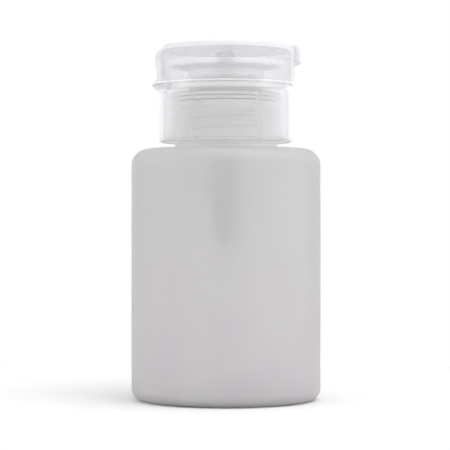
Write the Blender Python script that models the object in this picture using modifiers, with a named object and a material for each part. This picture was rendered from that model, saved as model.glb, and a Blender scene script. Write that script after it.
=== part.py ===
# A push-down pump bottle for a thin liquid such as nail varnish remover.
# A frosted bottle carries a screw collar. The collar holds the pump and a dish that is pressed
# down, and a lid is hinged to its rim. Liquid rises through the stem and comes out of the middle
# of the dish.
#
# Metres, +Z up. The origin is the middle of the base, on the bottle's axis. The lid's hinge is at
# -X and its thumb tab at +X.

import math

import bmesh
import bpy
from mathutils import Vector

MM = 0.001

# Fits and cuts that every piece shares
FIT_GAP = 0.3 * MM
RUNNING_GAP = 0.5 * MM
CUT_OVERRUN = 3.0 * MM
WELD_DISTANCE = 0.001 * MM

# Bottle
BOTTLE_RADIUS = 28.0 * MM
BOTTLE_WALL = 1.0 * MM
BASE_WALL = 1.4 * MM
HEEL_ROUND = 3.7 * MM
FOOT_WIDTH = 2.6 * MM
FOOT_ROUND = 0.5 * MM
PUSH_UP = 2.2 * MM
PUSH_UP_SLOPE = 3.2 * MM
PUSH_UP_ROUND = 1.5 * MM
SHOULDER_HEIGHT = 74.1 * MM
SHOULDER_ROUND = 5.0 * MM
SHOULDER_RISE = 0.2 * MM
NECK_HEIGHT = 13.7 * MM
NECK_RADIUS = 15.1 * MM
NECK_WALL = 1.8 * MM
NECK_ROOT_ROUND = 0.8 * MM
NECK_LIP_ROUND = 0.4 * MM

# Screw thread between the neck and the collar
THREAD_PITCH = 3.0 * MM
THREAD_HEIGHT = 1.05 * MM
THREAD_ROUND = 0.65 * MM
NECK_THREAD_TURNS = 2.75
COLLAR_THREAD_TURNS = 2.25
THREAD_BELOW_LIP = 1.2 * MM

# Gasket
GASKET_THICKNESS = 0.9 * MM

# Pump housing
FLANGE_THICKNESS = 0.9 * MM
CUP_DEPTH = 10.9 * MM
CUP_WALL = 1.0 * MM
CUP_FLOOR = 0.9 * MM
CUP_ROUND = 0.8 * MM
PUMP_BORE_RADIUS = 3.6 * MM
PUMP_WALL = 0.7 * MM
PUMP_BORE_LENGTH = 23.5 * MM
INLET_CHAMBER_LENGTH = 3.8 * MM
INLET_SEAT_RADIUS = 1.1 * MM
INLET_SEAT_SLOPE = math.radians(38)
INLET_LAND = 0.8 * MM
SPIGOT_TAPER = 3.5 * MM
SPIGOT_WALL = 1.1 * MM
SPIGOT_LENGTH = 4.5 * MM

# Valve balls
INLET_BALL_RADIUS = 1.6 * MM
OUTLET_BALL_RADIUS = 1.25 * MM
BALL_PLAY = 0.6 * MM

# Ball retainer, under the spring
RETAINER_DISC_THICKNESS = 0.8 * MM
RETAINER_HOLE_RADIUS = 0.5 * MM
RETAINER_HOLE_COUNT = 5
RETAINER_HOLE_CIRCLE_SHARE = 0.45

# Stem guide, pressed into the top of the pump bore
GUIDE_FLANGE_RADIUS = 6.0 * MM
GUIDE_FLANGE_THICKNESS = 1.2 * MM
GUIDE_PLUG_LENGTH = 3.2 * MM

# Stem and piston
STEM_RADIUS = 2.0 * MM
STEM_BORE_RADIUS = 0.9 * MM
STEM_COLLAR_RADIUS = 2.8 * MM
STEM_COLLAR_THICKNESS = 0.8 * MM
PISTON_LENGTH = 3.8 * MM
PISTON_WAIST = 0.35 * MM
PISTON_LIP = 0.9 * MM

# Return spring
SPRING_WIRE_RADIUS = 0.25 * MM
SPRING_RADIUS = 2.6 * MM
SPRING_TURNS = 8

# Dip tube
DIP_TUBE_RADIUS = 1.6 * MM
DIP_TUBE_WALL = 0.5 * MM
DIP_TUBE_ABOVE_BASE = 1.8 * MM

# Press dish
PRESS_TRAVEL = 5.0 * MM
DISH_RIM_THICKNESS = 0.8 * MM
DISH_RIM_HEIGHT = 1.6 * MM
DISH_RIM_ROUND = 0.3 * MM
DISH_SKIRT_WALL = 0.9 * MM
SAUCER_RISE = 0.9 * MM
SAUCER_WALL = 0.9 * MM
SAUCER_ROUND = 0.8 * MM
BASIN_DEPTH = 3.9 * MM
BASIN_WALL = 1.0 * MM
BASIN_INSET = 1.2 * MM
BASIN_FLARE = 1.4 * MM
BASIN_ROUND = 1.2 * MM
SPOUT_RADIUS = 4.2 * MM
SPOUT_HEIGHT = 2.7 * MM
SPOUT_ROUND = 0.4 * MM
OUTLET_CHAMBER_DEPTH = 3.4 * MM
OUTLET_CHANNEL_RADIUS = 0.8 * MM
OUTLET_CHANNEL_LENGTH = 0.7 * MM
OUTLET_SEAT_SLOPE = math.radians(45)

# Outlet insert, the perforated button in the middle of the dish
INSERT_RADIUS = 3.2 * MM
INSERT_THICKNESS = 0.8 * MM
INSERT_HOLE_RADIUS = 0.35 * MM
INSERT_HOLE_COUNT = 6
INSERT_HOLE_CIRCLE_SHARE = 0.4

# Collar
COLLAR_WALL = 1.2 * MM
SKIRT_GAP = 1.0 * MM
COLLAR_ROUND = 1.0 * MM
COLLAR_ABOVE_SHOULDER = 1.75 * MM
LEDGE_THICKNESS = 1.2 * MM
DECK_STEP = 0.8 * MM
DECK_THICKNESS = 1.3 * MM
DECK_ROUND = 0.3 * MM
SLEEVE_WALL = 1.15 * MM
SLEEVE_RECESS = 1.0 * MM
UPSTAND_HEIGHT = 2.3 * MM
UPSTAND_WALL = 1.3 * MM
UPSTAND_ROUND = 0.4 * MM
RECESS_DEPTH = 0.25 * MM
RECESS_HEIGHT = 4.9 * MM
RECESS_BELOW_DECK = 2.3 * MM
RECESS_HALF_ANGLE = math.radians(29)

# Flip lid
LID_OVERHANG = 0.5 * MM
LID_WALL = 1.0 * MM
LID_HEIGHT = 11.5 * MM
LID_TOP_WALL = 1.2 * MM
LID_TOP_ROUND = 1.1 * MM
LID_RIM_ROUND = 0.25 * MM
BAND_STEP = 0.3 * MM
BAND_HEIGHT = 4.7 * MM
PLUG_RADIUS = 3.2 * MM
PLUG_WALL = 0.9 * MM

# Thumb tab on the lid
TAB_REACH = 1.9 * MM
TAB_FLARE = 0.35 * MM
TAB_HEIGHT = 4.6 * MM
TAB_BELOW_TOP = 0.5 * MM
TAB_ROUND = 1.2 * MM
TAB_EDGE_ROUND = 0.3 * MM
TAB_HALF_ANGLE = math.radians(18)

# Hinge: a ridge round the collar and one round the lid, which meet at the fold
HINGE_REACH = 2.1 * MM
HINGE_DEPTH = 6.5 * MM
HINGE_FRONT_HALF_WIDTH = 9.4 * MM
HINGE_ROOT_HALF_WIDTH = 12.5 * MM
COLLAR_HINGE_SLOPE = math.radians(42)
LID_HINGE_SLOPE = math.radians(50)
HINGE_END_SLOPE = math.radians(45)

# Hood that fills out the back of the lid above the hinge
HOOD_REACH = 1.0 * MM
HOOD_LEAN = 0.9 * MM
HOOD_ABOVE_PARTING = 1.7 * MM
HOOD_BELOW_TOP = 0.4 * MM
HOOD_ROUND = 3.4 * MM
HOOD_HALF_ANGLE = math.radians(28.5)

# Ways to lay a flat outline, and the fineness of round shapes
FLAT = (0, 0, 0)
FACING_X = (math.pi / 2, 0, math.pi / 2)
LARGE_STEPS = 36
SMALL_STEPS = 20
HOLE_STEPS = 8
THREAD_STEPS = 36
BAR_SIDES_LEVEL = 1
SPRING_STEPS = 10
BALL_SEGMENTS = 16
BALL_RINGS = 8
ARC_TOLERANCE = 0.08 * MM
THREAD_RUN_OUT_TURNS = 0.12
THREAD_END_SHARE = 0.3

# Heights of the stack, from the base up
shoulder_top = SHOULDER_HEIGHT + SHOULDER_RISE
neck_top = shoulder_top + NECK_HEIGHT
gasket_bottom = neck_top + FIT_GAP
gasket_top = gasket_bottom + GASKET_THICKNESS
flange_bottom = gasket_top + FIT_GAP
flange_top = flange_bottom + FLANGE_THICKNESS
ledge_bottom = flange_top + FIT_GAP
ledge_top = ledge_bottom + LEDGE_THICKNESS
deck_top = ledge_top + DECK_STEP
upstand_top = deck_top + UPSTAND_HEIGHT
lid_bottom = deck_top + FIT_GAP
lid_top = lid_bottom + LID_HEIGHT
lid_ceiling = lid_top - LID_TOP_WALL
hinge_height = deck_top + FIT_GAP / 2
collar_bottom = shoulder_top + COLLAR_ABOVE_SHOULDER

# Pump housing
neck_bore_radius = NECK_RADIUS - NECK_WALL
cup_radius = neck_bore_radius - RUNNING_GAP
cup_bore_radius = cup_radius - CUP_WALL
cup_floor_top = flange_top - CUP_DEPTH
cup_underside = cup_floor_top - CUP_FLOOR
pump_radius = PUMP_BORE_RADIUS + PUMP_WALL
spring_ledge = cup_floor_top - PUMP_BORE_LENGTH
inlet_chamber_radius = INLET_BALL_RADIUS + BALL_PLAY
inlet_cone_top = spring_ledge - INLET_CHAMBER_LENGTH
inlet_cone_height = (inlet_chamber_radius - INLET_SEAT_RADIUS) / math.tan(INLET_SEAT_SLOPE)
inlet_seat = inlet_cone_top - inlet_cone_height
socket_radius = DIP_TUBE_RADIUS + FIT_GAP
socket_top = inlet_seat - INLET_LAND
spigot_radius = socket_radius + SPIGOT_WALL
spigot_top = inlet_cone_top + INLET_LAND - SPIGOT_TAPER
spigot_bottom = socket_top - SPIGOT_LENGTH

# Stem guide, ball retainer and piston
guide_top = cup_floor_top + FIT_GAP + GUIDE_FLANGE_THICKNESS
guide_bottom = cup_floor_top - GUIDE_PLUG_LENGTH
guide_bore_radius = STEM_RADIUS + FIT_GAP
retainer_bottom = spring_ledge + FIT_GAP
retainer_top = retainer_bottom + RETAINER_DISC_THICKNESS
stem_shoulder_top = guide_bottom - FIT_GAP
stem_shoulder_bottom = stem_shoulder_top - STEM_COLLAR_THICKNESS
piston_top = stem_shoulder_bottom - FIT_GAP
piston_bottom = piston_top - PISTON_LENGTH
stem_foot_top = piston_bottom - FIT_GAP
stem_foot = stem_foot_top - STEM_COLLAR_THICKNESS

# Press dish
dish_skirt_radius = cup_bore_radius - RUNNING_GAP
dish_skirt_bore = dish_skirt_radius - DISH_SKIRT_WALL
dish_skirt_bottom = cup_floor_top + PRESS_TRAVEL + RUNNING_GAP
saucer_underside = ledge_top + PRESS_TRAVEL + RUNNING_GAP
rim_bottom = saucer_underside + SAUCER_RISE
rim_top = rim_bottom + DISH_RIM_HEIGHT
basin_radius = dish_skirt_bore - BASIN_INSET
basin_edge_radius = basin_radius + BASIN_FLARE
basin_edge = saucer_underside + SAUCER_WALL
basin_floor = rim_top - BASIN_DEPTH
basin_underside = basin_floor - BASIN_WALL
spout_top = basin_floor + SPOUT_HEIGHT
insert_bottom = spout_top - INSERT_THICKNESS
insert_recess = insert_bottom - FIT_GAP
outlet_chamber_radius = OUTLET_BALL_RADIUS + BALL_PLAY
outlet_seat = insert_recess - OUTLET_CHAMBER_DEPTH
outlet_cone_height = (outlet_chamber_radius - OUTLET_CHANNEL_RADIUS) / math.tan(OUTLET_SEAT_SLOPE)
stem_socket_top = outlet_seat - OUTLET_CHANNEL_LENGTH
stem_socket_bottom = guide_top + PRESS_TRAVEL + RUNNING_GAP
stem_top = stem_socket_top - FIT_GAP

# Collar
thread_crest = NECK_RADIUS + THREAD_HEIGHT
sleeve_bore_radius = thread_crest + FIT_GAP
sleeve_radius = sleeve_bore_radius + SLEEVE_WALL
sleeve_bottom = collar_bottom + SLEEVE_RECESS
ledge_bore_radius = dish_skirt_radius + RUNNING_GAP
collar_bore_radius = sleeve_radius + SKIRT_GAP
collar_radius = collar_bore_radius + COLLAR_WALL
neck_thread_start = neck_top - THREAD_BELOW_LIP - NECK_THREAD_TURNS * THREAD_PITCH
collar_thread_start = neck_thread_start + THREAD_PITCH / 2

# Flip lid, and the upstand and dish that stand inside it
lid_radius = collar_radius + LID_OVERHANG
lid_bore = lid_radius - LID_WALL
upstand_radius = lid_bore - RUNNING_GAP
upstand_bore_radius = upstand_radius - UPSTAND_WALL
dish_radius = upstand_bore_radius - RUNNING_GAP
band_radius = lid_radius + BAND_STEP
band_bottom = lid_top - BAND_HEIGHT

# Hinge and hood
fold_radius = collar_radius + HINGE_REACH
hinge_x = -(fold_radius + FIT_GAP / 2)
hood_radius = lid_radius + HOOD_REACH


def collection(name):
    """A collection of the scene, made once."""
    made = bpy.data.collections.new(name)
    bpy.context.scene.collection.children.link(made)
    return made


def material(name, colour, roughness, metallic=0.0, transmission=0.0):
    """A plain Principled material."""
    made = bpy.data.materials.new(name)
    made.use_nodes = True
    shader = made.node_tree.nodes["Principled BSDF"]
    shader.inputs["Base Color"].default_value = (*colour, 1.0)
    shader.inputs["Roughness"].default_value = roughness
    shader.inputs["Metallic"].default_value = metallic
    shader.inputs["Transmission Weight"].default_value = transmission
    made.diffuse_color = (*colour, 1.0)
    made.roughness = roughness
    made.metallic = metallic
    return made


def piece(name, data, finish):
    """A sub-part of the bottle, in its own object."""
    made = bpy.data.objects.new(name, data)
    data.materials.append(finish)
    parts.objects.link(made)
    return made


def guide(name, data):
    """A shape that is only joined to a piece or cut from it."""
    made = bpy.data.objects.new(name, data)
    guides.objects.link(made)
    made.hide_render = True
    made.display_type = "WIRE"
    return made


def rounded(corners, closed):
    """An outline of (across, up) points. A corner with a third value is rounded to that radius."""
    count = len(corners)
    points = []
    for i, corner in enumerate(corners):
        here = Vector(corner[:2])
        radius = corner[2] if len(corner) > 2 else 0
        if not radius or not (closed or 0 < i < count - 1):
            points.append(here)
            continue
        back = Vector(corners[i - 1][:2]) - here
        ahead = Vector(corners[(i + 1) % count][:2]) - here
        half = back.angle(ahead) / 2
        reach = min(radius / math.tan(half), back.length / 2, ahead.length / 2)
        radius = reach * math.tan(half)
        middle = here + (back.normalized() + ahead.normalized()).normalized() * (radius / math.sin(half))
        start = here + back.normalized() * reach - middle
        turn = start.angle_signed(here + ahead.normalized() * reach - middle)
        steps = math.ceil(abs(turn) / (2 * math.acos(max(0, 1 - ARC_TOLERANCE / radius))))
        for k in range(steps + 1):
            points.append(middle + turned_by(start, -turn * k / steps))
    return points


def turned_by(vector, angle):
    """A flat vector turned anticlockwise."""
    cosine, sine = math.cos(angle), math.sin(angle)
    return Vector((vector.x * cosine - vector.y * sine, vector.x * sine + vector.y * cosine))


def profile_mesh(name, corners, closed):
    """The outline as a chain of edges in the XZ plane, ready for a Screw modifier."""
    points = rounded(corners, closed)
    mesh = bpy.data.meshes.new(name)
    edges = [(i, i + 1) for i in range(len(points) - 1)]
    if closed:
        edges.append((len(points) - 1, 0))
    mesh.from_pydata([(p.x, 0, p.y) for p in points], edges, [])
    return mesh


def spin(obj, steps):
    """Turns the outline of an object about Z into a solid."""
    screw = obj.modifiers.new("turned", "SCREW")
    screw.axis = "Z"
    screw.angle = 2 * math.pi
    screw.steps = screw.render_steps = steps
    screw.use_merge_vertices = True
    screw.merge_threshold = WELD_DISTANCE
    screw.use_smooth_shade = True
    return obj


def turned_piece(name, corners, finish, steps, closed=True):
    """A turned sub-part. The outline runs down its outer side and up its inner side."""
    return spin(piece(name, profile_mesh(name, corners, closed), finish), steps)


def turned_guide(name, corners, steps, closed=True):
    return spin(guide(name, profile_mesh(name, corners, closed)), steps)


def solid_from_curve(curve_object):
    """A guide mesh from a curve object, with the caps welded on, in place of the curve."""
    graph = bpy.context.evaluated_depsgraph_get()
    mesh = bpy.data.meshes.new_from_object(curve_object.evaluated_get(graph))
    tidy = bmesh.new()
    tidy.from_mesh(mesh)
    bmesh.ops.remove_doubles(tidy, verts=tidy.verts, dist=WELD_DISTANCE)
    bmesh.ops.recalc_face_normals(tidy, faces=tidy.faces)
    tidy.to_mesh(mesh)
    tidy.free()
    made = guide(curve_object.name + "_solid", mesh)
    made.matrix_world = curve_object.matrix_world.copy()
    bpy.data.objects.remove(curve_object)
    return made


def slab(name, corners, half_width, turn=FLAT):
    """A flat outline, given a thickness. Flat, it lies in XY. Facing X, it stands in YZ."""
    curve = bpy.data.curves.new(name, "CURVE")
    curve.dimensions = "2D"
    curve.fill_mode = "BOTH"
    curve.extrude = half_width
    points = rounded(corners, closed=True)
    spline = curve.splines.new("POLY")
    spline.points.add(len(points) - 1)
    spline.use_cyclic_u = True
    for point, place in zip(spline.points, points):
        point.co = (place.x, place.y, 0, 1)
    made = guide(name, curve)
    made.rotation_euler = turn
    bpy.context.view_layer.update()
    return solid_from_curve(made)


def swept(name, points, bevel_radius, shares=None):
    """A round bar along the points, as a curve with filled ends."""
    curve = bpy.data.curves.new(name, "CURVE")
    curve.dimensions = "3D"
    curve.bevel_depth = bevel_radius
    curve.bevel_resolution = BAR_SIDES_LEVEL
    curve.use_fill_caps = True
    spline = curve.splines.new("POLY")
    spline.points.add(len(points) - 1)
    for i, (point, place) in enumerate(zip(spline.points, points)):
        point.co = (*place, 1)
        point.radius = shares[i] if shares else 1
    return curve


def thread_ridge(name, wall_radius, side, start, turns):
    """A rounded helical ridge on a round wall, which runs out at both ends. Side is 1 where it
    stands outwards, and -1 where it stands inwards."""
    count = round(turns * THREAD_STEPS)
    points, shares = [], []
    for i in range(count + 1):
        turn = turns * i / count
        from_end = min(turn, turns - turn)
        share = min(1, THREAD_END_SHARE + (1 - THREAD_END_SHARE) * from_end / THREAD_RUN_OUT_TURNS)
        radius = wall_radius + side * (THREAD_HEIGHT - THREAD_ROUND) * share
        angle = 2 * math.pi * turn
        points.append((radius * math.cos(angle), radius * math.sin(angle), start + turn * THREAD_PITCH))
        shares.append(share)
    curve = guide(name, swept(name, points, THREAD_ROUND, shares))
    bpy.context.view_layer.update()
    return solid_from_curve(curve)


def hang_on_axis(name, child, place):
    """Parents a piece to an empty on the axis that it turns about, and leaves it where it is."""
    axis = bpy.data.objects.new(name, None)
    axis.location = place
    parts.objects.link(axis)
    child.parent = axis
    child.location -= axis.location


def combine(target, other, operation):
    """Joins, cuts or keeps the overlap of two solids."""
    step = target.modifiers.new(operation.lower() + "_" + other.name, "BOOLEAN")
    step.operation = operation
    step.solver = "EXACT"
    step.object = other


def sector_of(name, corners, half_angle, direction):
    """A turned shape, kept only within an angle each side of +X or -X, which is direction 1 or -1."""
    shape = turned_guide(name, corners, LARGE_STEPS)
    reach = max(corner[0] for corner in corners) + CUT_OVERRUN
    top = max(corner[1] for corner in corners) + CUT_OVERRUN
    bottom = min(corner[1] for corner in corners) - CUT_OVERRUN
    half_width = reach * math.tan(half_angle)
    plan = [(0, 0), (direction * reach, half_width), (direction * reach, -half_width)]
    wedge = slab(name + "_sector", plan, (top - bottom) / 2)
    wedge.location.z = (top + bottom) / 2
    combine(shape, wedge, "INTERSECT")
    return shape


def cone_seat_height(seat_radius, seat_height, slope, ball_radius):
    """The height of a ball's middle when it lies a fit gap above a conical seat."""
    contact_radius = ball_radius * math.cos(slope)
    contact_height = seat_height + (contact_radius - seat_radius) / math.tan(slope)
    return contact_height + ball_radius * math.sin(slope) + FIT_GAP / math.sin(slope)


def ball(name, radius, height, finish):
    mesh = bpy.data.meshes.new(name)
    shape = bmesh.new()
    bmesh.ops.create_uvsphere(shape, u_segments=BALL_SEGMENTS, v_segments=BALL_RINGS, radius=radius)
    shape.to_mesh(mesh)
    shape.free()
    mesh.shade_smooth()
    made = piece(name, mesh, finish)
    made.location.z = height
    return made


def drill(target, name, count, circle_radius, hole_radius, bottom, top):
    """Cuts a ring of round holes through a disc, with one in the middle."""
    mesh = bpy.data.meshes.new(name)
    shape = bmesh.new()
    places = [Vector((0, 0, 0))]
    for i in range(count):
        angle = 2 * math.pi * i / count
        places.append(Vector((circle_radius * math.cos(angle), circle_radius * math.sin(angle), 0)))
    for place in places:
        made = bmesh.ops.create_cone(
            shape,
            cap_ends=True,
            segments=HOLE_STEPS,
            radius1=hole_radius,
            radius2=hole_radius,
            depth=top - bottom + 2 * CUT_OVERRUN,
        )
        bmesh.ops.translate(shape, verts=made["verts"], vec=place)
    shape.to_mesh(mesh)
    shape.free()
    cutter = guide(name, mesh)
    cutter.location.z = (top + bottom) / 2
    combine(target, cutter, "DIFFERENCE")


def make_bottle(finish):
    """The blown bottle: body, pushed-up base and threaded neck, in one wall."""
    inner_radius = BOTTLE_RADIUS - BOTTLE_WALL
    foot_inner = BOTTLE_RADIUS - HEEL_ROUND - FOOT_WIDTH
    dome_radius = foot_inner - PUSH_UP_SLOPE
    bottle = turned_piece(
        "bottle",
        [
            (0, PUSH_UP + BASE_WALL),
            (dome_radius, PUSH_UP + BASE_WALL, PUSH_UP_ROUND),
            (foot_inner, BASE_WALL, PUSH_UP_ROUND),
            (inner_radius, BASE_WALL, HEEL_ROUND - BOTTLE_WALL),
            (inner_radius, SHOULDER_HEIGHT - BOTTLE_WALL, SHOULDER_ROUND - BOTTLE_WALL),
            (neck_bore_radius, shoulder_top - BOTTLE_WALL, NECK_ROOT_ROUND),
            (neck_bore_radius, neck_top, NECK_LIP_ROUND),
            (NECK_RADIUS, neck_top, NECK_LIP_ROUND),
            (NECK_RADIUS, shoulder_top, NECK_ROOT_ROUND),
            (BOTTLE_RADIUS, SHOULDER_HEIGHT, SHOULDER_ROUND),
            (BOTTLE_RADIUS, 0, HEEL_ROUND),
            (foot_inner, 0, FOOT_ROUND),
            (dome_radius, PUSH_UP, PUSH_UP_ROUND),
            (0, PUSH_UP),
        ],
        finish,
        LARGE_STEPS,
        closed=False,
    )
    ridge = thread_ridge("neck_thread", NECK_RADIUS, 1, neck_thread_start, NECK_THREAD_TURNS)
    combine(bottle, ridge, "UNION")
    return bottle


def make_gasket(finish):
    """The foam washer between the neck's lip and the pump's flange."""
    return turned_piece(
        "gasket",
        [
            (NECK_RADIUS, gasket_top),
            (NECK_RADIUS, gasket_bottom),
            (neck_bore_radius, gasket_bottom),
            (neck_bore_radius, gasket_top),
        ],
        finish,
        LARGE_STEPS,
    )


def make_pump_housing(finish):
    """The cup that hangs in the neck, with the pump bore, the inlet seat and the tube socket."""
    return turned_piece(
        "pump_housing",
        [
            (NECK_RADIUS, flange_top),
            (NECK_RADIUS, flange_bottom),
            (cup_radius, flange_bottom),
            (cup_radius, cup_underside, CUP_ROUND),
            (pump_radius, cup_underside),
            (pump_radius, spigot_top + SPIGOT_TAPER),
            (spigot_radius, spigot_top),
            (spigot_radius, spigot_bottom),
            (socket_radius, spigot_bottom),
            (socket_radius, socket_top),
            (INLET_SEAT_RADIUS, socket_top),
            (INLET_SEAT_RADIUS, inlet_seat),
            (inlet_chamber_radius, inlet_cone_top),
            (inlet_chamber_radius, spring_ledge),
            (PUMP_BORE_RADIUS, spring_ledge),
            (PUMP_BORE_RADIUS, cup_floor_top),
            (cup_bore_radius, cup_floor_top),
            (cup_bore_radius, flange_top),
        ],
        finish,
        LARGE_STEPS,
    )


def make_stem_guide(finish):
    """The bush that closes the pump bore round the stem and stops the stem's rise."""
    plug_radius = PUMP_BORE_RADIUS - FIT_GAP
    return turned_piece(
        "stem_guide",
        [
            (GUIDE_FLANGE_RADIUS, guide_top, FIT_GAP),
            (GUIDE_FLANGE_RADIUS, cup_floor_top + FIT_GAP),
            (plug_radius, cup_floor_top + FIT_GAP),
            (plug_radius, guide_bottom),
            (guide_bore_radius, guide_bottom),
            (guide_bore_radius, guide_top),
        ],
        finish,
        SMALL_STEPS,
    )


def make_ball_retainer(finish):
    """The perforated disc that keeps the inlet ball down and seats the spring."""
    radius = PUMP_BORE_RADIUS - FIT_GAP
    disc = turned_piece(
        "ball_retainer",
        [(0, retainer_top), (radius, retainer_top), (radius, retainer_bottom), (0, retainer_bottom)],
        finish,
        SMALL_STEPS,
        closed=False,
    )
    circle = radius * RETAINER_HOLE_CIRCLE_SHARE
    drill(
        disc,
        "ball_retainer_holes",
        RETAINER_HOLE_COUNT,
        circle,
        RETAINER_HOLE_RADIUS,
        retainer_bottom,
        retainer_top,
    )
    return disc


def make_stem(finish):
    """The hollow rod from the piston up into the dish."""
    return turned_piece(
        "stem",
        [
            (STEM_RADIUS, stem_top),
            (STEM_RADIUS, stem_shoulder_top),
            (STEM_COLLAR_RADIUS, stem_shoulder_top),
            (STEM_COLLAR_RADIUS, stem_shoulder_bottom),
            (STEM_RADIUS, stem_shoulder_bottom),
            (STEM_RADIUS, stem_foot_top),
            (STEM_COLLAR_RADIUS, stem_foot_top),
            (STEM_COLLAR_RADIUS, stem_foot),
            (STEM_BORE_RADIUS, stem_foot),
            (STEM_BORE_RADIUS, stem_top),
        ],
        finish,
        SMALL_STEPS,
    )


def make_piston(finish):
    """The soft sleeve on the stem's foot, with a sealing lip at each end."""
    lip_radius = PUMP_BORE_RADIUS - FIT_GAP
    waist_radius = lip_radius - PISTON_WAIST
    return turned_piece(
        "piston",
        [
            (lip_radius, piston_top),
            (lip_radius, piston_top - PISTON_LIP),
            (waist_radius, piston_top - PISTON_LIP - PISTON_WAIST),
            (waist_radius, piston_bottom + PISTON_LIP + PISTON_WAIST),
            (lip_radius, piston_bottom + PISTON_LIP),
            (lip_radius, piston_bottom),
            (STEM_RADIUS + FIT_GAP, piston_bottom),
            (STEM_RADIUS + FIT_GAP, piston_top),
        ],
        finish,
        SMALL_STEPS,
    )


def make_return_spring(finish):
    """One round wire from the ball retainer up to the stem's foot."""
    bottom = retainer_top + FIT_GAP + SPRING_WIRE_RADIUS
    top = stem_foot - FIT_GAP - SPRING_WIRE_RADIUS
    count = SPRING_TURNS * SPRING_STEPS
    points = []
    for i in range(count + 1):
        angle = 2 * math.pi * SPRING_TURNS * i / count
        height = bottom + (top - bottom) * i / count
        points.append((SPRING_RADIUS * math.cos(angle), SPRING_RADIUS * math.sin(angle), height))
    least = min(
        (Vector(points[i]) - Vector(points[j])).length
        for i in range(count + 1)
        for j in range(i + SPRING_STEPS // 2, count + 1)
    )
    print(f"return spring: {SPRING_TURNS} turns, least gap {(least - 2 * SPRING_WIRE_RADIUS) / MM:.2f} mm")
    return piece("return_spring", swept("return_spring", points, SPRING_WIRE_RADIUS), finish)


def make_dip_tube(finish):
    """The tube from the pump's spigot down to just above the base."""
    bottom = PUSH_UP + BASE_WALL + DIP_TUBE_ABOVE_BASE
    top = socket_top - FIT_GAP
    bore = DIP_TUBE_RADIUS - DIP_TUBE_WALL
    return turned_piece(
        "dip_tube",
        [(DIP_TUBE_RADIUS, top), (DIP_TUBE_RADIUS, bottom), (bore, bottom), (bore, top)],
        finish,
        SMALL_STEPS,
    )


def make_press_dish(finish):
    """The dish that is pressed: rim, sloped saucer, basin, middle spout, guide skirt and socket."""
    rim_bore = dish_radius - DISH_RIM_THICKNESS
    recess_radius = INSERT_RADIUS + FIT_GAP
    return turned_piece(
        "press_dish",
        [
            (dish_radius, rim_top, DISH_RIM_ROUND),
            (dish_radius, rim_bottom, SAUCER_ROUND),
            (dish_skirt_radius, saucer_underside, SAUCER_ROUND),
            (dish_skirt_radius, dish_skirt_bottom),
            (dish_skirt_bore, dish_skirt_bottom),
            (dish_skirt_bore, basin_underside),
            (SPOUT_RADIUS, basin_underside),
            (SPOUT_RADIUS, stem_socket_bottom),
            (guide_bore_radius, stem_socket_bottom),
            (guide_bore_radius, stem_socket_top),
            (OUTLET_CHANNEL_RADIUS, stem_socket_top),
            (OUTLET_CHANNEL_RADIUS, outlet_seat),
            (outlet_chamber_radius, outlet_seat + outlet_cone_height),
            (outlet_chamber_radius, insert_recess),
            (recess_radius, insert_recess),
            (recess_radius, spout_top),
            (SPOUT_RADIUS, spout_top, SPOUT_ROUND),
            (SPOUT_RADIUS, basin_floor, SPOUT_ROUND),
            (basin_radius, basin_floor, BASIN_ROUND),
            (basin_edge_radius, basin_edge, BASIN_ROUND),
            (rim_bore, rim_bottom + SAUCER_WALL),
            (rim_bore, rim_top, DISH_RIM_ROUND),
        ],
        finish,
        LARGE_STEPS,
    )


def make_outlet_insert(finish):
    """The perforated button that covers the outlet ball."""
    disc = turned_piece(
        "outlet_insert",
        [
            (0, spout_top),
            (INSERT_RADIUS, spout_top, FIT_GAP),
            (INSERT_RADIUS, insert_bottom),
            (0, insert_bottom),
        ],
        finish,
        SMALL_STEPS,
        closed=False,
    )
    circle = INSERT_RADIUS * INSERT_HOLE_CIRCLE_SHARE
    drill(
        disc,
        "outlet_insert_holes",
        INSERT_HOLE_COUNT,
        circle,
        INSERT_HOLE_RADIUS,
        insert_bottom,
        spout_top,
    )
    return disc


def hinge_ridge(name, wall_middle, parting, direction, slope):
    """Half of the hinge: a ridge along a round wall, with a flat face at the parting plane and its
    edge at the fold. Each end slopes to a point on the wall. Direction is 1 for the lid's half,
    which lies above the plane, and -1 for the collar's."""
    rise = (fold_radius - wall_middle) * math.tan(slope)
    section = [(fold_radius, parting), (wall_middle, parting), (wall_middle, parting + direction * rise)]
    ridge = turned_guide(name, section[::direction], LARGE_STEPS)

    front = -(fold_radius + CUT_OVERRUN)
    back = -(fold_radius - HINGE_DEPTH)
    plan = [
        (front, -HINGE_FRONT_HALF_WIDTH),
        (back, -HINGE_ROOT_HALF_WIDTH),
        (back, HINGE_ROOT_HALF_WIDTH),
        (front, HINGE_FRONT_HALF_WIDTH),
    ]
    plan_trim = slab(name + "_plan", plan, rise + CUT_OVERRUN)
    plan_trim.location.z = parting
    combine(ridge, plan_trim, "INTERSECT")

    height = rise + CUT_OVERRUN
    crest_half_width = HINGE_ROOT_HALF_WIDTH - height / math.tan(HINGE_END_SLOPE)
    gable = [
        (-HINGE_ROOT_HALF_WIDTH, parting - direction * CUT_OVERRUN),
        (HINGE_ROOT_HALF_WIDTH, parting - direction * CUT_OVERRUN),
        (HINGE_ROOT_HALF_WIDTH, parting),
        (crest_half_width, parting + direction * height),
        (-crest_half_width, parting + direction * height),
        (-HINGE_ROOT_HALF_WIDTH, parting),
    ]
    gable_trim = slab(name + "_gable", gable, HINGE_DEPTH + CUT_OVERRUN, FACING_X)
    gable_trim.location.x = -fold_radius
    combine(ridge, gable_trim, "INTERSECT")
    return ridge


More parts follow.
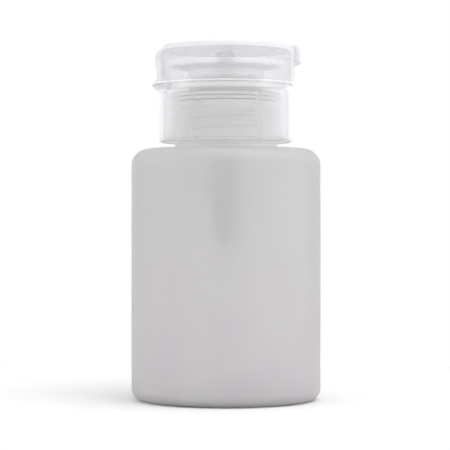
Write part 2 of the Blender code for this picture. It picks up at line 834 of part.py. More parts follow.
def make_collar(finish):
    """The screw collar: outer skirt, threaded sleeve, clamping ledge, upstand and hinge ridge."""
    collar = turned_piece(
        "collar",
        [
            (collar_radius, deck_top, DECK_ROUND),
            (collar_radius, collar_bottom, COLLAR_ROUND),
            (collar_bore_radius, collar_bottom),
            (collar_bore_radius, deck_top - DECK_THICKNESS),
            (sleeve_radius, deck_top - DECK_THICKNESS),
            (sleeve_radius, sleeve_bottom),
            (sleeve_bore_radius, sleeve_bottom),
            (sleeve_bore_radius, ledge_bottom),
            (ledge_bore_radius, ledge_bottom),
            (ledge_bore_radius, ledge_top),
            (upstand_bore_radius, ledge_top),
            (upstand_bore_radius, upstand_top, UPSTAND_ROUND),
            (upstand_radius, upstand_top, UPSTAND_ROUND),
            (upstand_radius, deck_top),
        ],
        finish,
        LARGE_STEPS,
    )
    ridge = thread_ridge(
        "collar_thread", sleeve_bore_radius, -1, collar_thread_start, COLLAR_THREAD_TURNS
    )
    combine(collar, ridge, "UNION")

    wall_middle = collar_radius - COLLAR_WALL / 2
    combine(collar, hinge_ridge("collar_hinge", wall_middle, deck_top, -1, COLLAR_HINGE_SLOPE), "UNION")

    recess_top = deck_top - RECESS_BELOW_DECK
    recess_bottom = recess_top - RECESS_HEIGHT
    recess = sector_of(
        "collar_recess",
        [
            (collar_radius + CUT_OVERRUN, recess_top),
            (collar_radius + CUT_OVERRUN, recess_bottom),
            (collar_radius - RECESS_DEPTH, recess_bottom),
            (collar_radius - RECESS_DEPTH, recess_top),
        ],
        RECESS_HALF_ANGLE,
        -1,
    )
    combine(collar, recess, "DIFFERENCE")
    return collar


def make_flip_lid(finish):
    """The lid: cup with a thicker band, sealing plug, thumb tab, hood and hinge ridge."""
    plug_bottom = spout_top + FIT_GAP
    lid = turned_piece(
        "flip_lid",
        [
            (0, lid_top),
            (band_radius, lid_top, LID_TOP_ROUND),
            (band_radius, band_bottom, LID_RIM_ROUND),
            (lid_radius, band_bottom),
            (lid_radius, lid_bottom, LID_RIM_ROUND),
            (lid_bore, lid_bottom, LID_RIM_ROUND),
            (lid_bore, lid_ceiling, LID_TOP_ROUND),
            (PLUG_RADIUS, lid_ceiling),
            (PLUG_RADIUS, plug_bottom, LID_RIM_ROUND),
            (PLUG_RADIUS - PLUG_WALL, plug_bottom, LID_RIM_ROUND),
            (PLUG_RADIUS - PLUG_WALL, lid_ceiling),
            (0, lid_ceiling),
        ],
        finish,
        LARGE_STEPS,
        closed=False,
    )

    wall_middle = lid_radius - LID_WALL / 2
    tab_top = lid_top - TAB_BELOW_TOP
    tab_bottom = tab_top - TAB_HEIGHT
    tab_edge = lid_radius + TAB_REACH
    tab = sector_of(
        "thumb_tab",
        [
            (tab_edge - TAB_FLARE, tab_top, TAB_ROUND),
            (tab_edge, tab_bottom, TAB_EDGE_ROUND),
            (wall_middle, tab_bottom),
            (wall_middle, tab_top),
        ],
        TAB_HALF_ANGLE,
        1,
    )
    combine(lid, tab, "UNION")

    hood_top = lid_top - HOOD_BELOW_TOP
    hood_bottom = lid_bottom + HOOD_ABOVE_PARTING
    hood = sector_of(
        "lid_hood",
        [
            (hood_radius, lid_top - LID_TOP_ROUND),
            (hood_radius, hood_top - HOOD_ROUND),
            (hood_radius - HOOD_LEAN, hood_bottom),
            (wall_middle, hood_bottom),
            (wall_middle, lid_top - LID_TOP_ROUND),
        ],
        HOOD_HALF_ANGLE,
        -1,
    )
    combine(lid, hood, "UNION")
    shoulder = sector_of(
        "lid_hood_shoulder",
        [
            (hood_radius + CUT_OVERRUN, lid_top + CUT_OVERRUN),
            (hood_radius + CUT_OVERRUN, hood_top - HOOD_ROUND),
            (hood_radius, hood_top - HOOD_ROUND),
            (hood_radius, hood_top, HOOD_ROUND),
            (hood_radius - HOOD_ROUND, hood_top),
            (hood_radius - HOOD_ROUND, lid_top + CUT_OVERRUN),
        ],
        HOOD_HALF_ANGLE + FIT_GAP / hood_radius,
        -1,
    )
    combine(lid, shoulder, "DIFFERENCE")

    combine(lid, hinge_ridge("lid_hinge", wall_middle, lid_bottom, 1, LID_HINGE_SLOPE), "UNION")
    return lid


for old in list(bpy.data.objects):
    bpy.data.objects.remove(old)
parts = collection("pump_bottle")
guides = collection("guides")

frosted = material("frosted_plastic", (0.80, 0.80, 0.80), 0.55, transmission=0.4)
clear = material("natural_plastic", (0.88, 0.88, 0.90), 0.25, transmission=0.6)
milky = material("milky_plastic", (0.90, 0.90, 0.91), 0.35)
foam = material("foam", (0.93, 0.93, 0.92), 0.8)
steel = material("steel", (0.62, 0.62, 0.64), 0.25, metallic=1.0)
tube = material("soft_tube", (0.88, 0.89, 0.90), 0.3, transmission=0.5)

inlet_ball_height = cone_seat_height(
    INLET_SEAT_RADIUS, inlet_seat, INLET_SEAT_SLOPE, INLET_BALL_RADIUS
)
outlet_ball_height = cone_seat_height(
    OUTLET_CHANNEL_RADIUS, outlet_seat, OUTLET_SEAT_SLOPE, OUTLET_BALL_RADIUS
)

make_bottle(frosted)
make_gasket(foam)
make_pump_housing(milky)
make_stem_guide(milky)
make_ball_retainer(milky)
ball("inlet_ball", INLET_BALL_RADIUS, inlet_ball_height, steel)
make_return_spring(steel)
make_piston(milky)
make_stem(milky)
make_dip_tube(tube)
make_press_dish(clear)
ball("outlet_ball", OUTLET_BALL_RADIUS, outlet_ball_height, steel)
make_outlet_insert(milky)
make_collar(clear)
lid = make_flip_lid(clear)
hang_on_axis("lid_hinge_axis", lid, (hinge_x, 0, hinge_height))
bpy.context.view_layer.update()

print(f"height {lid_top / MM:.2f} mm, hinge at {hinge_x / MM:.2f}, {hinge_height / MM:.2f} mm")
print(f"inlet ball {inlet_ball_height / MM:.2f} mm, outlet ball {outlet_ball_height / MM:.2f} mm")
print(f"spring from {(retainer_top + FIT_GAP) / MM:.2f} mm to {(stem_foot - FIT_GAP) / MM:.2f} mm")
print(f"dish rim {rim_top / MM:.2f} mm, basin {basin_floor / MM:.2f} mm, spout {spout_top / MM:.2f} mm")
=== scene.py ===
# Push-down pump bottle: the looks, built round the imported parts.
# Sizes in the dictionaries are millimetres in the bottle's own frame: up is Z, the hinge is at -X,
# the thumb tab at +X.

import math

import bmesh
import bpy
import mathutils
import numpy as np
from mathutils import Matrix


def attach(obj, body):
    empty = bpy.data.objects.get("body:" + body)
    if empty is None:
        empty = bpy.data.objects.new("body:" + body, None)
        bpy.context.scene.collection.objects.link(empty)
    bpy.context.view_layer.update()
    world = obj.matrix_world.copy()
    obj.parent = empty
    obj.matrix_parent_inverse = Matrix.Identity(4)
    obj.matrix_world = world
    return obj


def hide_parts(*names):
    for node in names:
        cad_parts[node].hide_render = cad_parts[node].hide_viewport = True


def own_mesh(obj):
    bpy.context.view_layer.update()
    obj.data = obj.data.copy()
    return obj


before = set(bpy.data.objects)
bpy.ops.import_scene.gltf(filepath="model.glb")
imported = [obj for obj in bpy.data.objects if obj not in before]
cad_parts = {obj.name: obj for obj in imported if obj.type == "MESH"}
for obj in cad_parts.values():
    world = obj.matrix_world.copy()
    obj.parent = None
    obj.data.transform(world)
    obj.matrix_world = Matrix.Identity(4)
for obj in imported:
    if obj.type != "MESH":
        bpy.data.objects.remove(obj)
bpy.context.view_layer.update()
mm = 0.001
meshRules = {
    "weldDistance": 0.0008,
    "sharpAngle": 38,  # degrees
}
print("frame loaded:", len(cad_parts), "nodes")


# Surfaces

def outlineOf(corners, closed=True, arcSteps=8):
    # A corner is across, up, the radius that it is rounded to, and the splits of the edge after it.
    # The last two may be left out, and are then 0 and 1.
    table = np.array([(*corner, *(0, 1)[len(corner) - 2 :]) for corner in corners], float)
    here, radius, splits = table[:, :2], table[:, 2], table[:, 3].astype(int)
    back, ahead = np.roll(here, 1, 0) - here, np.roll(here, -1, 0) - here
    backLength, aheadLength = np.linalg.norm(back, axis=1), np.linalg.norm(ahead, axis=1)
    back, ahead = back / backLength[:, None], ahead / aheadLength[:, None]
    half = np.arccos(np.clip((back * ahead).sum(1), -1, 1)) / 2
    before, after = np.roll(radius, 1), np.roll(radius, -1)
    backShare = radius / np.maximum(radius + before, 1e-9)
    aheadShare = radius / np.maximum(radius + after, 1e-9)
    free = np.minimum(backLength * backShare, aheadLength * aheadShare)
    reach = np.minimum(radius / np.tan(half), free * 0.98)
    runs = []
    for i in range(len(table)):
        if radius[i] > 0 and (closed or 0 < i < len(table) - 1):
            bent = reach[i] * math.tan(half[i])
            middle = (back[i] + ahead[i]) / np.linalg.norm(back[i] + ahead[i])
            centre = here[i] + middle * bent / math.sin(half[i])
            first, last = here[i] + back[i] * reach[i] - centre, here[i] + ahead[i] * reach[i] - centre
            turn = math.atan2(first[0] * last[1] - first[1] * last[0], first @ last)
            angle = math.atan2(first[1], first[0]) + turn * np.linspace(0, 1, arcSteps + 1)
            runs.append(centre + bent * np.stack([np.cos(angle), np.sin(angle)], 1))
        else:
            runs.append(here[i][None])
    points = []
    for i, run in enumerate(runs):
        points.append(run)
        if closed or i < len(runs) - 1:
            step = np.arange(1, splits[i])[:, None] / splits[i]
            points.append(run[-1] + (runs[(i + 1) % len(runs)][0] - run[-1]) * step)
    return np.concatenate(points) * mm


def meshFrom(name, patches):
    # Each patch is a grid of points, and whether its rows and its columns close on themselves.
    # Facing is outwards where rows run down and columns run anticlockwise seen from above.
    points, faces, count = [], [], 0
    for grid, closedRows, closedColumns in patches:
        rows, columns = grid.shape[:2]
        index = count + np.arange(rows * columns).reshape(rows, columns)
        if closedRows:
            index = np.concatenate([index, index[:1]])
        if closedColumns:
            index = np.concatenate([index, index[:, :1]], 1)
        quads = np.stack([index[:-1, :-1], index[1:, :-1], index[1:, 1:], index[:-1, 1:]], -1)
        points.append(grid.reshape(-1, 3))
        faces.append(quads.reshape(-1, 4))
        count += rows * columns
    mesh = bpy.data.meshes.new(name)
    mesh.from_pydata(np.concatenate(points).tolist(), [], np.concatenate(faces).tolist())
    weld = bmesh.new()
    weld.from_mesh(mesh)
    bmesh.ops.remove_doubles(weld, verts=weld.verts, dist=meshRules["weldDistance"] * mm)
    weld.to_mesh(mesh)
    weld.free()
    mesh.shade_smooth()
    mesh.set_sharp_from_angle(angle=math.radians(meshRules["sharpAngle"]))
    return mesh


def place(name, patches, body, node, finish):
    # One finished piece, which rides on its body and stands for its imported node.
    piece = bpy.data.objects.new(name, meshFrom(name, patches))
    bpy.context.scene.collection.objects.link(piece)
    piece.data.materials.append(finish)
    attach(piece, body)
    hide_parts(node)
    return piece


def finishAbove(piece, height, finish):
    # One more finish, for the faces that lie wholly above this height.
    piece.data.materials.append(finish)
    heights = np.empty(len(piece.data.vertices) * 3, np.float32)
    piece.data.vertices.foreach_get("co", heights)
    heights = heights.reshape(-1, 3)[:, 2]
    corners = np.empty(len(piece.data.loops), np.int32)
    piece.data.loops.foreach_get("vertex_index", corners)
    starts = np.empty(len(piece.data.polygons), np.int32)
    piece.data.polygons.foreach_get("loop_start", starts)
    above = np.minimum.reduceat(heights[corners], starts) > height * mm
    finishes = np.empty(len(piece.data.polygons), np.int32)
    piece.data.polygons.foreach_get("material_index", finishes)
    finishes[above] = len(piece.data.materials) - 1
    piece.data.polygons.foreach_set("material_index", finishes)


def aroundAxis(across, up, angles):
    # A turned surface: across and up may change with the angle, as rows of points by angles.
    across, up, angles = np.broadcast_arrays(across, up, angles[None])
    return np.stack([across * np.cos(angles), across * np.sin(angles), up], -1)


def evenAngles(count):
    # Angles all round, without the closing one.
    return np.linspace(0, 2 * math.pi, count, endpoint=False)


def denseAngles(count, places):
    # Even angles, with closer ones for each (middle, reach, step) in degrees.
    extra = [np.radians(np.arange(m - r, m + r, s)) for m, r, s in places]
    return np.unique(np.round(np.concatenate([evenAngles(count), *extra]) % (2 * math.pi), 5))


def turned(corners, closed=True, count=160, arcSteps=8):
    # A surface of revolution: one rounded outline, the same at every angle.
    line = outlineOf(corners, closed, arcSteps)
    return (aroundAxis(line[:, :1], line[:, 1:], evenAngles(count)), closed, True)


def eased(value):
    # From 0 to 1 with level ends: three times the square less twice the cube.
    value = np.clip(value, 0, 1)
    return value * value * (3 - 2 * value)


def sectorShare(angles, middle, half, edge):
    # 1 inside a sector, 0 outside, eased over an edge of this many mm at a radius of 20 mm.
    off = np.abs((angles - math.radians(middle) + math.pi) % (2 * math.pi) - math.pi)
    return eased((math.radians(half) - off) / (edge / 20) + 0.5)


def softMax(a, b, blend):
    # The larger of two surfaces, with a small fillet where they cross.
    share = np.clip(0.5 + 0.5 * (a - b) / blend, 0, 1)
    return b + (a - b) * share + blend * share * (1 - share)


screw = {
    "pitch": 3.0,
    "height": 1.05,
    "halfWidth": 1.05,
    "runOut": 0.1,  # turns
    "start": 78.55,
}


def threadRise(angles, up, start, turns):
    # A ridge that climbs one pitch a turn: cosine squared across, eased down at both ends.
    pitch, wide = screw["pitch"] * mm, screw["halfWidth"] * mm
    phase = angles[None] / (2 * math.pi)
    turn = np.round((up - start * mm) / pitch - phase) + phase
    off = up - start * mm - turn * pitch
    ends = eased(np.minimum(turn, turns - turn) / screw["runOut"])
    return screw["height"] * mm * ends * np.cos(np.clip(off / wide, -1, 1) * math.pi / 2) ** 2


hinge = {
    "foldRadius": 21.9,
    "depth": 6.5,
    "frontHalfWidth": 9.4,
    "rootHalfWidth": 12.5,
    "collarSlope": 42,  # degrees
    "lidSlope": 50,
    "blend": 0.12,
    "skin": 0.35,  # how far in from a wall's radius its outer face may lie
}


def ridgeReach(angles, fromParting, slope):
    # How far out the hinge ridge stands along each angle: the least of its sloping face, its plan
    # and its sloping ends.
    side, along = np.abs(np.sin(angles))[None], -np.cos(angles)[None]
    taper = (hinge["rootHalfWidth"] - hinge["frontHalfWidth"]) / hinge["depth"]
    face = hinge["foldRadius"] * mm - fromParting / math.tan(math.radians(slope))
    plan = (hinge["frontHalfWidth"] + hinge["foldRadius"] * taper) * mm
    plan = plan / np.maximum(side + np.maximum(along, 0) * taper, 1e-6)
    ends = (hinge["rootHalfWidth"] * mm - fromParting) / np.maximum(side, 1e-6)
    reach = np.minimum(np.minimum(face, plan), ends)
    return np.where((along > 0.2) & (fromParting >= -1e-9), reach, 0)


# Materials

def newGroup(name, inputs, outputs):
    # A shared node group with named sockets, and its two end nodes.
    group = bpy.data.node_groups.new(name, "ShaderNodeTree")
    for label, kind, value in inputs:
        socket = group.interface.new_socket(label, in_out="INPUT", socket_type=kind)
        socket.default_value = value
    for label, kind in outputs:
        group.interface.new_socket(label, in_out="OUTPUT", socket_type=kind)
    return group, group.nodes.new("NodeGroupInput"), group.nodes.new("NodeGroupOutput")


def node(tree, kind, links=None, **values):
    # A node with its settings, and its inputs by name: a socket is linked, anything else is set.
    made = tree.nodes.new(kind)
    for key, value in values.items():
        setattr(made, key, value)
    for key, value in (links or {}).items():
        socket = made.inputs[key]
        if isinstance(value, bpy.types.NodeSocket):
            tree.links.new(value, socket)
        else:
            socket.default_value = value
    return made


def sums(tree, operation, a, b=0.0, c=None):
    # One step of arithmetic on sockets or numbers.
    links = {0: a, 1: b}
    if c is not None:
        links[2] = c
    return node(tree, "ShaderNodeMath", links, operation=operation).outputs[0]


def noise(tree, position, scale, detail):
    # Noise in clouds, about 0.5 in the mean.
    made = node(tree, "ShaderNodeTexNoise", {"Vector": position, "Scale": scale, "Detail": detail})
    return made.outputs["Fac"]


def ramp(tree, value, low, high, **settings):
    # 0 at the low value and 1 at the high one, or the other way where low is the larger.
    return node(
        tree, "ShaderNodeMapRange", {"Value": value, "From Min": low, "From Max": high}, **settings
    ).outputs[0]


def makeFrost():
    # Etched skin: a fine grain, and slow cloudy changes of thickness.
    group, given, result = newGroup(
        "frostedSkin",
        [("Grain Scale", "NodeSocketFloat", 1600.0), ("Cloud Scale", "NodeSocketFloat", 60.0)],
        [("Grain", "NodeSocketFloat"), ("Cloud", "NodeSocketFloat")],
    )
    position = node(group, "ShaderNodeTexCoord").outputs["Object"]
    group.links.new(noise(group, position, given.outputs[0], 3.0), result.inputs["Grain"])
    group.links.new(noise(group, position, given.outputs[1], 2.0), result.inputs["Cloud"])
    return group


def makeFlow():
    # Moulded plastic: faint streaks along the draw, and shallow ripples in the surface.
    group, given, result = newGroup(
        "mouldFlow",
        [("Streak Scale", "NodeSocketFloat", 500.0), ("Ripple Scale", "NodeSocketFloat", 130.0)],
        [("Streak", "NodeSocketFloat"), ("Ripple", "NodeSocketFloat")],
    )
    position = node(group, "ShaderNodeTexCoord").outputs["Object"]
    drawn = node(group, "ShaderNodeMapping", {"Vector": position, "Scale": (1, 1, 0.06)})
    group.links.new(noise(group, drawn.outputs[0], given.outputs[0], 2.0), result.inputs["Streak"])
    group.links.new(noise(group, position, given.outputs[1], 1.0), result.inputs["Ripple"])
    return group


def makeHandling():
    # Sparse fine scuffs from handling, as a mask.
    group, given, result = newGroup(
        "handlingScuffs",
        [("Scale", "NodeSocketFloat", 220.0), ("Amount", "NodeSocketFloat", 0.3)],
        [("Scuff", "NodeSocketFloat")],
    )
    position = node(group, "ShaderNodeTexCoord").outputs["Object"]
    turnedAway = {"Vector": position, "Rotation": (0.5, 0.3, 0.8), "Scale": (1, 0.08, 1)}
    slanted = node(group, "ShaderNodeMapping", turnedAway)
    lines = noise(group, slanted.outputs[0], given.outputs[0], 4.0)
    low = sums(group, "SUBTRACT", 0.78, sums(group, "MULTIPLY", given.outputs[1], 0.2))
    group.links.new(ramp(group, lines, low, 0.85), result.inputs["Scuff"])
    return group


frostedSkin, mouldFlow, handlingScuffs = makeFrost(), makeFlow(), makeHandling()


def tint(tree, colour, shift, mask):
    # The colour, moved towards its shifted one by a mask. Sockets 6 and 7 are the two colours.
    first = colour if isinstance(colour, bpy.types.NodeSocket) else (*colour, 1)
    mixed = node(tree, "ShaderNodeMix", {0: mask, 6: first, 7: (*shift, 1)}, data_type="RGBA")
    return mixed.outputs[2]


def newMaterial(name):
    # The material, its nodes and its shader.
    material = bpy.data.materials.new(name)
    material.use_nodes = True
    return material, material.node_tree, material.node_tree.nodes["Principled BSDF"]


def grouped(tree, group, **values):
    # A shared group in this material, with its own values.
    made = node(tree, "ShaderNodeGroup", node_tree=group)
    for key, value in values.items():
        made.inputs[key].default_value = value
    return made


def heightBand(tree, height, low, high):
    # 1 between two heights in mm, 0 elsewhere.
    half = (high - low) / 2 * mm
    return sums(tree, "COMPARE", height, low * mm + half, half)


def plastic(name, look):
    # A moulded plastic. Frosted ones use the etched skin, the others the flow of the mould.
    material, tree, shader = newMaterial(name)
    if look.get("frosted"):
        scales = {"Grain Scale": look["grainScale"], "Cloud Scale": look["cloudScale"]}
        skin = grouped(tree, frostedSkin, **scales)
    else:
        scales = {"Streak Scale": look["streakScale"], "Ripple Scale": look["rippleScale"]}
        skin = grouped(tree, mouldFlow, **scales)
    fine, slow = skin.outputs[0], skin.outputs[1]
    scuff = grouped(tree, handlingScuffs, Scale=look["scuffScale"], Amount=look["scuffs"]).outputs[0]
    colour = tint(tree, look["colour"], look["cloudColour"], slow)
    position = node(tree, "ShaderNodeTexCoord").outputs["Object"]
    height = node(tree, "ShaderNodeSeparateXYZ", {0: position}).outputs["Z"]
    if look.get("lowColour"):
        # The foot of the body is tinted, in clouds that thin out upwards.
        low = ramp(tree, height, look["lowTop"] * mm, 0.0)
        clouds = ramp(tree, slow, *look["lowClouds"])
        colour = tint(tree, colour, look["lowColour"], sums(tree, "MULTIPLY", low, clouds))
    # How far a point is from the bottle's axis.
    flat = node(tree, "ShaderNodeVectorMath", {0: position, 1: (1, 1, 0)}, operation="MULTIPLY")
    out = node(tree, "ShaderNodeVectorMath", {0: flat.outputs[0]}, operation="LENGTH").outputs["Value"]
    if look.get("deepFrom"):
        # Solid parts outside the wall, such as the hood and the tab, are thicker and deeper in tone.
        deep = ramp(tree, out, look["deepFrom"] * mm, (look["deepFrom"] + look["deepSpread"]) * mm)
        colour = tint(tree, colour, look["deepColour"], deep)
    if look.get("paintedHighlightBand"):
        # A painted highlight: a pale band between two heights, where an edge seen along the wall sends
        # back more light.
        rim = heightBand(tree, height, *look["paintedHighlightBand"])
        colour = tint(tree, colour, look["paintedHighlightColour"], rim)
    spread = look["roughnessSpread"]
    rough = sums(tree, "MULTIPLY_ADD", fine, spread, look["roughness"] - spread / 2)
    rough = sums(tree, "MULTIPLY_ADD", scuff, look["scuffRoughness"], rough)
    high = sums(tree, "MULTIPLY_ADD", slow, look["rippleShare"], fine)
    bump = node(tree, "ShaderNodeBump", {"Height": high, "Distance": look["bump"] * mm, "Strength": 1.0})
    tree.links.new(colour, shader.inputs["Base Color"])
    tree.links.new(rough, shader.inputs["Roughness"])
    tree.links.new(bump.outputs[0], shader.inputs["Normal"])
    shader.inputs["IOR"].default_value = look["ior"]
    shader.inputs["Transmission Weight"].default_value = look["clearness"]
    shader.inputs["Coat Weight"].default_value = look["gloss"]
    shader.inputs["Coat Roughness"].default_value = look["glossRoughness"]
    if look["cover"] < 1:
        # Seen at a slant, a milky wall is thicker and covers more of what is behind it.
        slant = node(tree, "ShaderNodeLayerWeight", {"Blend": 0.5}).outputs["Facing"]
        thick = sums(tree, "POWER", slant, look["slantPower"])
        cover = sums(tree, "MULTIPLY_ADD", thick, 1 - look["cover"], look["cover"])
        if look.get("solid"):
            # The outer edge of a disc or deck has many millimetres of plastic behind it.
            edge = sums(tree, "GREATER_THAN", out, look["solidFrom"] * mm)
            solid = sums(tree, "MULTIPLY", heightBand(tree, height, *look["solid"]), edge)
            cover = sums(tree, "MAXIMUM", cover, sums(tree, "MULTIPLY", solid, look["solidCover"]))
        if look.get("deepFrom"):
            cover = sums(tree, "MAXIMUM", cover, sums(tree, "MULTIPLY", deep, look["deepCover"]))
        # The painted highlight band also covers more of what is behind it.
        if look.get("paintedHighlightBand"):
            cover = sums(tree, "MAXIMUM", cover, sums(tree, "MULTIPLY", rim, look["rimCover"]))
        if look.get("oncePerWall"):
            # A wall covers once, where the view enters it, and nothing where it leaves.
            leaving = node(tree, "ShaderNodeNewGeometry").outputs["Backfacing"]
            cover = sums(tree, "MULTIPLY", cover, sums(tree, "SUBTRACT", 1.0, leaving))
        tree.links.new(cover, shader.inputs["Alpha"])
    shader.inputs["Subsurface Weight"].default_value = look["milkiness"]
    shader.inputs["Subsurface Radius"].default_value = (1.0, 1.0, 1.0)
    shader.inputs["Subsurface Scale"].default_value = look["milkReach"] * mm
    return material


frostedLook = {
    "frosted": True,
    "colour": (0.865, 0.857, 0.862),
    "cloudColour": (0.84, 0.832, 0.837),
    "lowColour": (0.84, 0.80, 0.83),
    "lowTop": 55.0,
    "lowClouds": (0.3, 0.7),
    "roughness": 0.38,
    "roughnessSpread": 0.08,
    "clearness": 0.6,
    "cover": 1.0,
    "milkiness": 1.0,
    "milkReach": 1.0,
    "ior": 1.4,
    "gloss": 0.0,
    "glossRoughness": 0.1,
    "grainScale": 1600.0,
    "cloudScale": 70.0,
    "scuffScale": 150.0,
    "scuffs": 0.2,
    "scuffRoughness": 0.15,
    "rippleShare": 0.3,
    "bump": 0.02,
}
naturalLook = {
    "colour": (0.765, 0.757, 0.80),
    "cloudColour": (0.735, 0.727, 0.77),
    "roughness": 0.3,
    "roughnessSpread": 0.05,
    "clearness": 0.0,
    "cover": 0.24,
    "slantPower": 1.6,
    "oncePerWall": True,
    "milkiness": 0.0,
    "milkReach": 1.5,
    "ior": 1.1,
    "gloss": 0.25,
    "glossRoughness": 0.08,
    "streakScale": 500.0,
    "rippleScale": 110.0,
    "scuffScale": 240.0,
    "scuffs": 0.3,
    "scuffRoughness": 0.15,
    "rippleShare": 1.5,
    "bump": 0.008,
}
cupLook = dict(naturalLook, colour=(0.97, 0.96, 0.95), cloudColour=(0.95, 0.94, 0.93), cover=0.95)
neckLook = dict(cupLook, cover=0.9, slantPower=1.0)
# The lower pump is painted darker than such a pump is: painted shade, for its shadow seen through the
# frosting.
pumpPaintedShadeLook = dict(
    naturalLook,
    colour=(0.48, 0.48, 0.48),
    cloudColour=(0.45, 0.45, 0.45),
    cover=1.0,
    roughness=0.35,
)
dishLook = dict(naturalLook, colour=(0.96, 0.955, 0.96), cloudColour=(0.93, 0.925, 0.93), cover=0.7)
# Heights and radii of the painted highlight bands at rims, of solid edges and of deeper parts are in mm.
collarLook = dict(
    naturalLook,
    colour=(0.92, 0.91, 0.935),
    cloudColour=(0.89, 0.88, 0.905),
    # A painted highlight along the collar's bottom edge.
    paintedHighlightBand=(76.05, 76.55),
    rimCover=0.7,
    paintedHighlightColour=(0.97, 0.97, 0.98),
    solid=(91.4, 92.7),
    solidFrom=19.4,
    solidCover=0.5,
    deepFrom=19.95,
    deepSpread=0.6,
    deepColour=(0.68, 0.675, 0.71),
    deepCover=0.85,
)
lidLook = dict(
    naturalLook,
    # A painted highlight along the lid's bottom rim.
    paintedHighlightBand=(92.9, 93.5),
    rimCover=0.6,
    paintedHighlightColour=(0.96, 0.96, 0.97),
    solid=(103.3, 104.6),
    solidFrom=19.4,
    solidCover=0.85,
    deepFrom=20.4,
    deepSpread=0.6,
    deepColour=(0.68, 0.675, 0.71),
    deepCover=0.85,
)
tubeLook = dict(naturalLook, colour=(0.88, 0.89, 0.90), cloudColour=(0.86, 0.87, 0.88), cover=0.4)
foamLook = {
    "colour": (0.93, 0.93, 0.92),
    "cellColour": (0.82, 0.82, 0.81),
    "cellScale": 3500.0,
    "cellDepth": 0.06,
    "roughness": 0.85,
}
steelLook = {
    "colour": (0.66, 0.66, 0.68),
    "lineColour": (0.56, 0.56, 0.58),
    "lineScale": 2500.0,
    "roughness": 0.16,
    "roughnessSpread": 0.12,
}

frosted = plastic("frostedPlastic", frostedLook)
paleNeck = plastic("neckPlastic", neckLook)
dishPlastic = plastic("dishPlastic", dishLook)
collarPlastic = plastic("collarPlastic", collarLook)
lidPlastic = plastic("lidPlastic", lidLook)
pumpPaintedShade = plastic("pumpPaintedShadePlastic", pumpPaintedShadeLook)
paleCup = plastic("cupPlastic", cupLook)
softTube = plastic("tubePlastic", tubeLook)


def foamMaterial():
    # Closed-cell foam: small round cells, seen as pits.
    look = foamLook
    material, tree, shader = newMaterial("whiteFoam")
    position = node(tree, "ShaderNodeTexCoord").outputs["Object"]
    cells = node(tree, "ShaderNodeTexVoronoi", {"Vector": position, "Scale": look["cellScale"]})
    distance = cells.outputs["Distance"]
    colour = tint(tree, look["colour"], look["cellColour"], distance)
    bump = node(tree, "ShaderNodeBump", {"Height": distance, "Distance": look["cellDepth"] * mm})
    tree.links.new(colour, shader.inputs["Base Color"])
    tree.links.new(bump.outputs[0], shader.inputs["Normal"])
    shader.inputs["Roughness"].default_value = look["roughness"]
    return material


def steelMaterial():
    # Drawn and polished steel: fine lines and a little change of gloss.
    look = steelLook
    material, tree, shader = newMaterial("polishedSteel")
    position = node(tree, "ShaderNodeTexCoord").outputs["Object"]
    lines = noise(tree, position, look["lineScale"], 3.0)
    rough = sums(tree, "MULTIPLY_ADD", lines, look["roughnessSpread"], look["roughness"])
    colour = tint(tree, look["colour"], look["lineColour"], lines)
    tree.links.new(colour, shader.inputs["Base Color"])
    tree.links.new(rough, shader.inputs["Roughness"])
    shader.inputs["Metallic"].default_value = 1.0
    return material


foam, steel = foamMaterial(), steelMaterial()
print("materials made")


# Bottle

bottle = {
    "radius": 28.0,
    "wall": 1.0,
    "floor": 1.4,
    "heelRound": 3.7,
    "footInner": 21.7,
    "domeRadius": 18.5,
    "pushUp": 2.2,
    "shoulder": 74.1,
    "shoulderTop": 74.3,
    "shoulderRound": 5.0,
    "neckRadius": 15.1,
    "neckBore": 13.3,
    "lip": 88.0,
    "threadTurns": 2.75,
    "threadFrom": 14.3,  # across, which only the neck's outer face passes
    "frostEnd": 74.5,
    "waveFrom": 20.0,  # across, so that only the body's wall waves
    "waveHeights": (9.0, 14.0),
    "waveFade": (6.0, 8.0),
    "waviness": 0.03,
}


def makeBottle():
    # The outline turned round the axis, plus the thread's rise on the neck, less a wave on the body.
    b = bottle
    inner = b["radius"] - b["wall"]
    line = outlineOf(
        [
            (0, b["pushUp"] + b["floor"], 0, 4),
            (b["domeRadius"], b["pushUp"] + b["floor"], 1.5, 3),
            (b["footInner"], b["floor"], 1.5, 2),
            (inner, b["floor"], b["heelRound"] - b["wall"], 30),
            (inner, b["shoulder"] - b["wall"], b["shoulderRound"] - b["wall"], 6),
            (b["neckBore"], b["shoulderTop"] - b["wall"], 0.8, 8),
            (b["neckBore"], b["lip"], 0.4, 1),
            (b["neckRadius"], b["lip"], 0.4, 90),
            (b["neckRadius"], b["shoulderTop"], 0.8, 8),
            (b["radius"], b["shoulder"], b["shoulderRound"], 40),
            (b["radius"], 0, b["heelRound"], 2),
            (b["footInner"], 0, 0.5, 3),
            (b["domeRadius"], b["pushUp"], 1.5, 4),
            (0, b["pushUp"]),
        ],
        closed=False,
    )
    angles = evenAngles(240)
    across, up = np.broadcast_arrays(line[:, :1], line[:, 1:])
    onNeck = (up > b["shoulderTop"] * mm) & (across > b["threadFrom"] * mm)
    rise = threadRise(angles, up, screw["start"], b["threadTurns"])
    # A blown wall is never quite even: slow waves round and up the body.
    # It is the sum of two sines, of three and of two waves round, that shift with the height.
    short, long = (height * mm for height in b["waveHeights"])
    wave = np.sin(3 * angles[None] + up / short) + np.sin(2 * angles[None] - up / long + 1.3)
    foot, top = (height * mm for height in b["waveFade"])
    onBody = eased(up / foot) * eased((b["shoulder"] * mm - up) / top) * (across > b["waveFrom"] * mm)
    across = across + rise * onNeck - (1 + 0.5 * wave) * b["waviness"] * mm * onBody
    shell = (aroundAxis(across, up, angles), False, True)
    piece = place("bottle_shell", [shell], "bottle", "bottle", frosted)
    # The frosting ends where the cap covers the neck.
    finishAbove(piece, b["frostEnd"], paleNeck)


makeBottle()
print("bottle made")


# Collar

